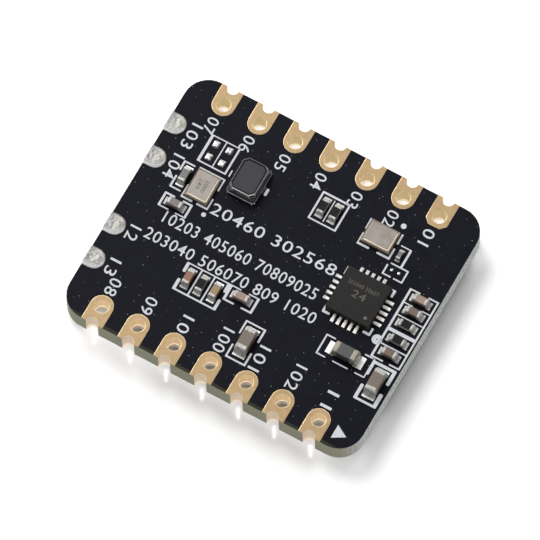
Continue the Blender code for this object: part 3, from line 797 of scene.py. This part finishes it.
cap_tin = grained(
    "tinned_cap", (122, 120, 115), (172, 170, 165), grain=0.11, rough=(0.25, 0.42), relief=0.006,
    metallic=0.45)
bead_cap = grained(
    "bead_cap", (122, 114, 100), (146, 138, 124), grain=0.09, rough=(0.35, 0.5), relief=0.006, metallic=0.3)
# Two copies of the tinned land: the darker one is painted shade that tones down the lamp's highlights on most
# chips' lands, and the paler one is kept for the rest
tinned_land = grained(
    "tinned_land", (112, 112, 108), (212, 210, 206), grain=0.1, rough=(0.3, 0.45), metallic=0.1)
bright_land = grained(
    "bright_land", (208, 206, 202), (254, 253, 251), grain=0.12, rough=(0.3, 0.45), metallic=0.1)
ceramics = {
    colour: grained(colour + "_ceramic", dark, light, grain=0.06)
    for colour, dark, light in (
        ("brown", (80, 62, 51), (95, 78, 66)),
        ("pink", (124, 102, 92), (144, 120, 109)),
        ("tan", (122, 98, 65), (142, 117, 82)),
        ("orange", (110, 66, 45), (133, 90, 65)),
        ("grey", (86, 76, 65), (103, 92, 79)),
        ("pale", (84, 84, 80), (101, 101, 97)),
        ("mauve", (92, 84, 83), (112, 103, 102)),
    )
}
bead_ceramic = grained("bead_ceramic", (40, 42, 41), (55, 57, 56), grain=0.08, relief=0.004)
body_step = 0.015 * MM
chip_edge = 0.02 * MM
fillet_edge = 0.012 * MM
land_thickness = 0.03 * MM
longest_run = 0.14 * MM
run_of_land = 0.5
cap_rounding = 0.13
tucked_in = 0.3
fillet_hollow = 0.9
hollow_profile = 0.12
land_rounding = 0.4
fillet_half = 0.49
land_half = 0.52
solder_climb = 0.72
glazed_from = 0.6


def resistor_material():
    """Black glaze where the body faces up, white alumina on its sides."""
    material = grained("resistor", (7, 7, 8), (14, 14, 14), grain=0.05, relief=0.002, specular=0.12)
    tree, glaze, shader = nodes_of(material)
    top = reckoned(tree, "GREATER_THAN", split(tree, true_normal(tree))["Z"], glazed_from)
    feed(tree, shader, {"Base Color": mixed(tree, top, (150, 148, 140), glaze["Color"])})
    return material


resistor_glaze = resistor_material()


def chip_pattern(*sizes):
    """Body, caps, solder and lands of a chip along X on Z = 0 round the origin. Sizes are in millimetres."""
    length, width, height, cap_length, land_reach = (size * MM for size in sizes)
    half = length / 2
    inner = half - cap_length / 2
    run = min(run_of_land * land_reach, longest_run)
    hollow = fillet_hollow * run
    body = block("chip_body", (-inner, body_step - width / 2, body_step),
                 (inner, width / 2 - body_step, height - body_step))
    round_edges(body, chip_edge)
    caps = []
    fillets = []
    lands = []
    for side in (-1, 1):
        cap = block("cap", (side * (half - cap_length), -width / 2, 0), (side * half, width / 2, height))
        round_edges(cap, cap_rounding * width, segments=3)
        caps.append(cap)
        turn = Matrix.Rotation(0.0 if side > 0 else pi, 4, "Z")
        to_end = Matrix.Translation((side * half, 0.0, 0.0)) @ turn
        fillet = block("fillet", (-tucked_in * run, -fillet_half * width, 0), (run, fillet_half * width, run))
        bevel_edges(fillet, lambda a, b: min(a.x, b.x, a.z, b.z) > hollow, hollow, segments=6,
                    profile=hollow_profile)
        fillet.data.transform(to_end @ Matrix.Diagonal((1.0, 1.0, solder_climb * height / run, 1.0)))
        round_edges(fillet, fillet_edge, angle=30)
        fillets.append(fillet)
        land = block("land", (-tucked_in * land_reach, -land_half * width, 0),
                     (land_reach, land_half * width, land_thickness))
        land.data.transform(to_end)
        round_edges(land, land_rounding * land_thickness)
        lands.append(land)
    return body, joined("chip_caps", caps), joined("chip_solder", fillets), joined("chip_lands", lands)


def fit_chip(pattern, node, along_y, body_material, slot, cap_material=cap_tin, land_material=tinned_land):
    """A copy of a pattern in the place of a chip's solid."""
    middle = middle_of(node)
    turn = Matrix.Rotation(-pi / 2 if along_y else 0.0, 4, "Z")
    matrix = Matrix.Translation((middle.x, middle.y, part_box(node)[0].z)) @ turn
    names = ("body", "caps", "solder", "lands")
    body, caps, solder, lands = (copied(part, f"{node}_{name}", matrix) for part, name in zip(pattern, names))
    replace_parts(fit_out(body, slot, body_material), node)
    fit_out(caps, "solder", cap_material)
    fit_out(solder, "solder", frozen_solder)
    fit_out(lands, "solder", land_material)


capacitor_0402 = chip_pattern(1.0, 0.5, 0.5, 0.24, 0.22)
resistor_0402 = chip_pattern(1.0, 0.5, 0.35, 0.22, 0.22)
capacitor_0603 = chip_pattern(1.6, 0.8, 0.8, 0.4, 0.25)
bead_0603 = chip_pattern(1.6, 0.8, 0.8, 0.4, 0.46)
capacitor_0201 = chip_pattern(0.6, 0.3, 0.3, 0.15, 0.12)
for node, along_y, colour, slot, land in (
    ("tall_crystal_capacitor_2", False, "mauve", "pink", tinned_land),
    ("tall_crystal_capacitor_1", True, "pale", "grey", bright_land),
    ("row_capacitor_2", True, "tan", "tan", bright_land),
    ("column_capacitor_1", False, "pink", "pink", tinned_land),
    ("column_capacitor_2", False, "brown", "brown", tinned_land),
    ("column_capacitor_3", False, "brown", "brown", tinned_land),
    ("row_capacitor_1", True, "orange", "orange", tinned_land),
    ("row_capacitor_3", False, "pink", "pink", tinned_land),
):
    fit_chip(capacitor_0402, node, along_y, ceramics[colour], "capacitor_" + slot, land_material=land)
for node, along_y in (
    ("link_resistor_1", True), ("link_resistor_2", True), ("column_resistor_1", False),
    ("column_resistor_2", False), ("row_resistor", True),
):
    fit_chip(resistor_0402, node, along_y, resistor_glaze, "resistor_glaze")
for node in ("supply_capacitor_1", "supply_capacitor_2"):
    fit_chip(capacitor_0603, node, True, ceramics["grey"], "capacitor_grey", land_material=bright_land)
fit_chip(bead_0603, "supply_bead", False, bead_ceramic, "bead_ceramic", bead_cap, bright_land)
fit_chip(capacitor_0201, "wide_crystal_capacitor", True, ceramics["pale"], "capacitor_grey")
for pattern in (capacitor_0402, resistor_0402, capacitor_0603, bead_0603, capacitor_0201):
    for part in pattern:
        bpy.data.objects.remove(part)


# Antennas
# Copper foil patches and their feed lines on the underside, one to send and one to receive. They are etched
# with the board and plated with gold.

antenna_gold = grained(
    "antenna_gold", (200, 158, 96), (220, 180, 120), grain=0.4, rough=(0.3, 0.42), relief=0.002, metallic=0.9)
for node in ("antenna_transmit", "antenna_receive"):
    give_materials(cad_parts[node], antenna_gold)


# Printed frames and marks
# White epoxy ink, screened or jetted onto the mask in strokes with round ends. It stands a little proud and
# thins out in places. A painted glow keeps it pale in the shade of the parts.

ink = grained("white_ink", (114, 116, 120), (146, 149, 154), grain=0.09, rough=(0.55, 0.7), relief=0.004)
ink_tree, _, ink_shader = nodes_of(ink)
# Painted light: the ink glows a little, so that shade hardly darkens it
feed(ink_tree, ink_shader, {"Emission Color": (0.95, 0.97, 1.0, 1.0), "Emission Strength": 0.345})
ink_rise = 0.014 * MM
ink_sink = 0.002 * MM
ink_edge = 0.004 * MM
corner_share = 0.45
grid_x = middle_of("edge_contact_04").x

# In millimetres: how far the ink bleeds, the thinnest stroke, and the widest one with fully round ends
ink_bleed = 0.028
thinnest_stroke = 0.075
widest_round = 0.2


def stroke(left, right, bottom, top):
    """A bar of ink with rounded corners, trimmed by the blur that it was read with. All in millimetres."""
    trim = max(0.0, min(ink_bleed, (min(right - left, top - bottom) - thinnest_stroke) / 2))
    left, right, bottom, top = left + trim, right - trim, bottom + trim, top - trim
    piece = block("stroke", (left * MM + grid_x, bottom * MM, board_top - ink_sink),
                  (right * MM + grid_x, top * MM, board_top + ink_rise))
    corner = corner_share * min(right - left, top - bottom, widest_round) * MM
    bevel_edges(piece, lambda a, b: abs(a.z - b.z) > ink_rise / 2, corner, segments=3)
    return piece


def printed(name, strokes):
    """One printed figure: its strokes melted into one body."""
    figure, *others = [stroke(*bar) for bar in strokes]
    if others:
        combined(figure, joined("others", others), "UNION", use_self=True)
    figure.name = name
    fit_out(figure, "solder_mask", ink)


def dot(name, x, y, radius, sides=40, turn=0.0, via=0.0):
    """A round of ink, left open at its middle for a via. Three sides make an arrowhead."""
    middle = (x * MM + grid_x, y * MM, board_top + (ink_rise - ink_sink) / 2)
    piece = disc(name, radius * MM, ink_rise + ink_sink, middle, sides, turn)
    if via:
        combined(piece, disc("via", via * MM, 4 * ink_rise, middle, sides=24), "DIFFERENCE")
    round_edges(piece, ink_edge)
    fit_out(piece, "solder_mask", ink)


# Left, right, bottom and top of each stroke
print_strokes = {
    "empty_pads": [
        (-7.32, -7.09, 3.6, 5.64), (-5.39, -5.21, 3.6, 5.64), (-7.32, -5.21, 5.51, 5.64),
        (-7.32, -5.21, 3.6, 3.75), (-6.28, -6.15, 3.65, 5.6)],
    "inductor_left": [(-5.08, -4.94, 3.6, 4.14)],
    "inductor_right": [(-2.58, -2.34, 3.57, 4.15)],
    "tall_crystal_right_1": [(-5.2, -5.04, 2.44, 3.36), (-6.9, -5.04, 3.26, 3.38)],
    "tall_crystal_right_2": [(-5.2, -5.04, 1.04, 1.9), (-5.92, -5.04, 1.02, 1.2)],
    "tall_crystal_left": [(-7.0, -6.88, 1.02, 2.0), (-7.0, -6.14, 1.02, 1.2)],
    "capacitor_1_upper": [(-7.96, -7.78, 2.54, 3.3), (-7.96, -7.1, 3.14, 3.3)],
    "capacitor_1_lower": [(-7.96, -7.78, 1.28, 2.2), (-7.96, -7.1, 1.28, 1.44)],
    "capacitor_2": [
        (-7.98, -7.78, -0.14, 0.94), (-6.16, -5.96, -0.14, 0.94), (-7.98, -7.2, 0.76, 0.94),
        (-6.72, -5.96, 0.76, 0.94), (-7.98, -7.16, -0.14, 0.0), (-6.76, -5.96, -0.14, 0.0)],
    "link_resistors": [
        (0.514, 0.694, 3.6, 5.69), (2.36, 2.54, 3.6, 5.69), (0.514, 2.54, 5.5, 5.69),
        (0.514, 2.54, 3.6, 3.755), (1.45, 1.57, 3.83, 5.45)],
    "wide_crystal_right_1": [(6.147, 6.328, 4.73, 5.53)],
    "wide_crystal_right_2": [(6.147, 6.328, 3.59, 4.48), (5.35, 6.328, 3.59, 3.79)],
    "wide_crystal_left_1": [(3.985, 4.09, 3.59, 4.48), (3.985, 4.886, 3.59, 3.79)],
    "wide_crystal_left_2": [(3.96, 4.08, 4.71, 5.55)],
    "small_pads": [
        (6.46, 7.27, 4.75, 4.87), (7.09, 7.29, 3.45, 4.87), (6.46, 7.78, 3.43, 3.58),
        (7.62, 7.78, 2.6, 3.58), (7.08, 7.78, 2.6, 2.75)],
    "small_pads_left": [(6.28, 6.45, 2.6, 3.38), (6.28, 6.97, 2.6, 2.75)],
    "controller_1": [(7.5, 7.72, 1.5, 2.08), (7.4, 7.72, 1.95, 2.08)],
    "controller_2": [(4.27, 4.37, 1.45, 2.07)],
    "controller_3": [(4.28, 4.47, -1.37, -0.77), (4.28, 4.88, -1.37, -1.15)],
    "controller_4": [(7.12, 7.73, -1.37, -1.15), (7.52, 7.73, -1.37, -0.75)],
    "column": [
        (8.3, 8.5, -2.455, 2.68), (10.23, 10.4, -2.455, 2.68), (8.3, 9.1, 2.53, 2.68),
        (9.6, 10.4, 2.53, 2.68), (8.3, 9.07, 1.6, 1.69), (9.67, 10.4, 1.6, 1.69), (8.3, 10.4, 0.7, 0.8),
        (8.3, 10.4, -0.437, -0.157), (8.3, 10.4, -1.445, -1.3), (8.3, 9.23, -2.455, -2.3),
        (9.59, 10.4, -2.455, -2.3)],
    "bead_left_1": [(5.28, 5.44, -3.93, -2.42), (5.28, 6.01, -2.57, -2.42), (5.28, 6.01, -3.93, -3.79)],
    "bead_middle": [(6.44, 7.58, -3.93, -3.79)],
    "bead_right": [
        (8.62, 8.75, -3.93, -2.43), (7.99, 8.75, -3.93, -3.79), (7.99, 8.62, -2.58, -2.43),
        (8.62, 10.33, -2.78, -2.53), (10.05, 10.33, -3.68, -2.53), (8.62, 8.87, -3.63, -2.6)],
    "supply_2": [(8.7, 8.97, -5.36, -4.23), (8.7, 10.33, -5.36, -5.15), (10.02, 10.33, -5.36, -4.27)],
    "row": [
        (-4.49, -4.23, -3.22, -2.45), (-4.49, -4.23, -4.52, -3.65), (-4.49, -1.22, -2.59, -2.45),
        (-4.49, -1.38, -4.52, -4.35), (-1.63, -1.38, -4.52, -3.67), (-1.63, -1.22, -3.2, -2.45),
        (-3.47, -3.31, -4.45, -2.5), (-2.56, -2.4, -4.45, -2.5), (-1.44, -1.22, -3.63, -2.5),
        (-1.44, -0.585, -3.63, -3.46), (-1.3, -0.62, -2.59, -2.45)],
    "row_right": [(0.46, 0.67, -3.63, -2.45), (-0.16, 0.67, -3.63, -3.46), (-0.16, 0.67, -2.59, -2.45)],
    "supply_1_upper": [
        (0.53, 0.7, -5.08, -4.035), (1.82, 2.01, -5.08, -4.035), (0.53, 2.01, -4.195, -4.035)],
    "supply_1_lower": [(0.53, 0.7, -6.81, -5.8), (1.82, 2.01, -6.81, -5.8), (0.53, 2.01, -6.81, -6.64)],
}
for name, strokes in print_strokes.items():
    printed("print_" + name, strokes)
dot("print_tall_crystal_dot", -5.13, 0.69, 0.15)
dot("print_wide_crystal_dot", 6.01, 6.0, 0.18)
dot("print_controller_dot", 8.18, -1.3, 0.33, via=0.045)
dot("print_arrowhead", 9.1, -7.8, 0.55, sides=3, turn=-pi / 2)


# Printed numbers
# Plain numbers in the same white ink: one beside each contact and side pad, and three rows of them across
# the middle of the board.

letter_gap = 1.08
letter_weight = 0.002


def numbers(
    name, digits, left, right, bottom, top, turned=False, level=board_top, rise=ink_rise, material=ink
):
    """Digits fitted to a box in millimetres. Turned ones read down the board, with their tops towards +X."""
    bpy.ops.object.select_all(action="DESELECT")
    bpy.ops.object.text_add()
    text = bpy.context.object
    text.data.body = digits
    text.data.offset = letter_weight
    text.data.extrude = 0.5
    text.data.space_character = letter_gap
    text.data.resolution_u = 3
    only(text)
    bpy.ops.object.convert(target="MESH")
    text.name = name
    if turned:
        text.data.transform(Matrix.Rotation(-pi / 2, 4, "Z"))
    low, high = (Vector([end(v.co[i] for v in text.data.vertices) for i in range(3)]) for end in (min, max))
    size = high - low
    scale = Matrix.Diagonal((
        (right - left) * MM / size.x, (top - bottom) * MM / size.y, (rise + ink_sink) / size.z, 1.0))
    to_place = Matrix.Translation((left * MM + grid_x, bottom * MM, level - ink_sink))
    text.data.transform(to_place @ scale @ Matrix.Translation(-low))
    with whole_mesh(text):
        bpy.ops.mesh.remove_doubles(threshold=weld_distance)
    bpy.ops.object.shade_flat()
    fit_out(text, "solder_mask", material)


numbers("numbers_first_row", "20460 302568", -4.9, 3.8, 0.97, 1.74)
numbers("numbers_second_row", "10203 405060 70809025", -7.2, 3.55, -0.96, -0.16)
numbers("numbers_third_row", "203040 506070 809 1020", -7.7, 4.25, -2.38, -1.6)
for index in range(contacts_per_row):
    x = (middle_index - index) * pitch / MM
    numbers(f"number_back_{index + 1}", f"{index + 1:02d}", x - 0.4, x + 0.36, 5.5, 6.6, True)
for index, (digits, top) in enumerate((
    ("08", -5.6), ("09", -5.6), ("10", -5.6), ("100", -5.1), ("101", -5.05), ("102", -5.05), ("11", -5.6),
)):
    x = (index - middle_index) * pitch / MM
    numbers(f"number_front_{index + 1}", digits, x - 0.42, x + 0.36, -6.75, top, True)
for index, (digits, top, bottom) in enumerate((
    ("103", 5.7, 4.0), ("104", 3.4, 1.75), ("12", -2.0, -3.0), ("13", -4.5, -5.6),
)):
    numbers(f"number_side_{index + 1}", digits, -8.72, -7.95, bottom, top, True)


# Marks on the packages
# Plain numbers, lasered into the controller's moulding and the tall crystal's lid, which turns them a shade
# greyer or darker than the skin round them.

moulding_mark = grained(
    "moulding_mark", (62, 60, 55), (76, 74, 68), grain=0.05, rough=(0.6, 0.7), relief=0.001)
lid_mark = grained("lid_mark", (70, 66, 60), (86, 82, 75), grain=0.05, rough=(0.5, 0.6), relief=0.001)
mark_rise = 0.003 * MM
for name, digits, node, left, right, bottom, top, turned_down, material in (
    ("controller_number", "203040 50607", "controller_chip", -1.05, 1.05, 0.5, 0.78, False, moulding_mark),
    ("controller_code", "24", "controller_chip", -0.45, 0.45, -0.2, 0.3, False, moulding_mark),
    ("tall_crystal_upper_number", "2000", "tall_crystal_lid", 0.05, 0.3, -0.45, 0.45, True, lid_mark),
    ("tall_crystal_lower_number", "240", "tall_crystal_lid", -0.35, -0.1, -0.35, 0.35, True, lid_mark),
):
    x = (middle_of(node).x - grid_x) / MM
    y = middle_of(node).y / MM
    numbers(name, digits, x + left, x + right, y + bottom, y + top, turned_down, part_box(node)[1].z, mark_rise,
            material)


# Floor, light and camera
# The module lies on a white table in a light tent: bright all round at the height of the table, dimmer
# overhead, with one soft lamp on its left and a weaker one behind it.

def floor_material():
    """White table top, a little mottled."""
    material = bpy.data.materials.new("white_table")
    material.use_nodes = True
    tree = material.node_tree
    mottle = noise(tree, object_place(tree), 3.0 / MM)
    white = mixed(tree, mottle, (0.93, 0.93, 0.93, 1.0), (0.96, 0.96, 0.96, 1.0))
    feed(tree, tree.nodes["Principled BSDF"], {"Base Color": white, "Roughness": 0.4})
    return material


table = settled("table", bpy.ops.mesh.primitive_plane_add, size=3.0, location=(0.0, 0.0, 0.0))
give_materials(table, floor_material())

world = bpy.data.worlds.new("light_tent")
bpy.context.scene.world = world
world.use_nodes = True
tent = world.node_tree
height = split(tent, add_node(tent, "TexCoord").outputs["Generated"])["Z"]
horizon_light = 1.0
overhead_light = 0.3
overhead_from = 0.75
feed(tent, tent.nodes["Background"], {
    "Color": (1.0, 1.0, 1.0, 1.0),
    "Strength": ramped(tent, height, 0.0, overhead_from, to=(horizon_light, overhead_light))})


def lamp(name, place, aimed_at, size, power, spread=180):
    """A lamp that looks at a point, round with one size and oblong with two. The spread is in degrees."""
    data = bpy.data.lights.new(name, "AREA")
    data.shape = "RECTANGLE" if len(size) > 1 else "DISK"
    data.size = size[0]
    data.size_y = size[-1]
    data.energy = power
    data.spread = radians(spread)
    lamp_object = new_object(name, data)
    lamp_object.location = place
    lamp_object.rotation_euler = (Vector(place) - Vector(aimed_at)).to_track_quat("Z", "Y").to_euler()
    return lamp_object


centre = (0.0, 0.0, 0.0)
lamp("lamp_left", (-0.178, 0.097, 0.28), centre, size=(0.2,), power=1.04)
lamp("lamp_back", (-0.01, 0.24, 0.2), centre, size=(0.16,), power=0.32)

# Light from the tent that gets under the board, shows in the drilled holes and reaches round the corners
glow_height = 0.8 * MM
row_length = pitch * (contacts_per_row - 1) + 2.0 * MM
for name, x, y, size, power in (
    ("glow_back", grid_x, 8.44 * MM, (row_length, 0.6 * MM), 5.0e-5),
    ("glow_front", grid_x, -8.52 * MM, (row_length, 0.6 * MM), 4.6e-5),
    ("glow_left_end", -6.3 * MM, -8.95 * MM, (6.0 * MM, 0.8 * MM), 8.5e-6),
    ("glow_left_corner", -8.2 * MM, -8.0 * MM, (1.8 * MM,), 8.0e-6),
    ("glow_right_corner", 9.5 * MM, -8.5 * MM, (3.4 * MM,), 1.3e-5),
    ("glow_right_side", 10.3 * MM, -5.9 * MM, (0.8 * MM, 3.2 * MM), 2.4e-6),
    ("glow_far_corner", 10.1 * MM, 7.5 * MM, (1.8 * MM,), 3.6e-6),
):
    lamp(name, (x, y, glow_height), (x, y, 0.0), size, power)

view_azimuth = radians(30.579)
view_elevation = radians(68.928)
view_roll = radians(-1.407)

# The table mirrors the plated half holes of the near row in streaks that run towards the camera
streak_size = (0.08 * MM, 0.75 * MM)
streak_height = 0.2 * MM
streak_aside = 0.1 * MM
y = board_low.y - 0.02 * MM
for index in range(contacts_per_row):
    x = grid_x + (index - middle_index) * pitch + streak_aside
    streak = lamp(
        f"glint_{index + 1}", (x, y, streak_height), (x, y, 0.0), streak_size, power=2.6e-7, spread=110)
    streak.rotation_euler.z = view_azimuth

frame_height = 33.18 * MM
aim_right = -0.049 * MM
aim_up = -0.516 * MM
lens = 700.0
sensor = 36.0
camera = bpy.data.cameras.new("camera")
camera.lens = lens
camera.sensor_width = sensor
camera.clip_end = 5.0
camera_object = new_object("camera", camera)
turned = Matrix.Rotation(view_azimuth, 4, "Z") @ Matrix.Rotation(pi / 2 - view_elevation, 4, "X")
camera_object.matrix_world = (
    Matrix.Translation((grid_x, 0.0, board_top)) @ turned @ Matrix.Rotation(view_roll, 4, "Z")
    @ Matrix.Translation((aim_right, aim_up, frame_height * lens / sensor)))
bpy.context.scene.camera = camera_object
bpy.context.scene.view_settings.view_transform = "Standard"
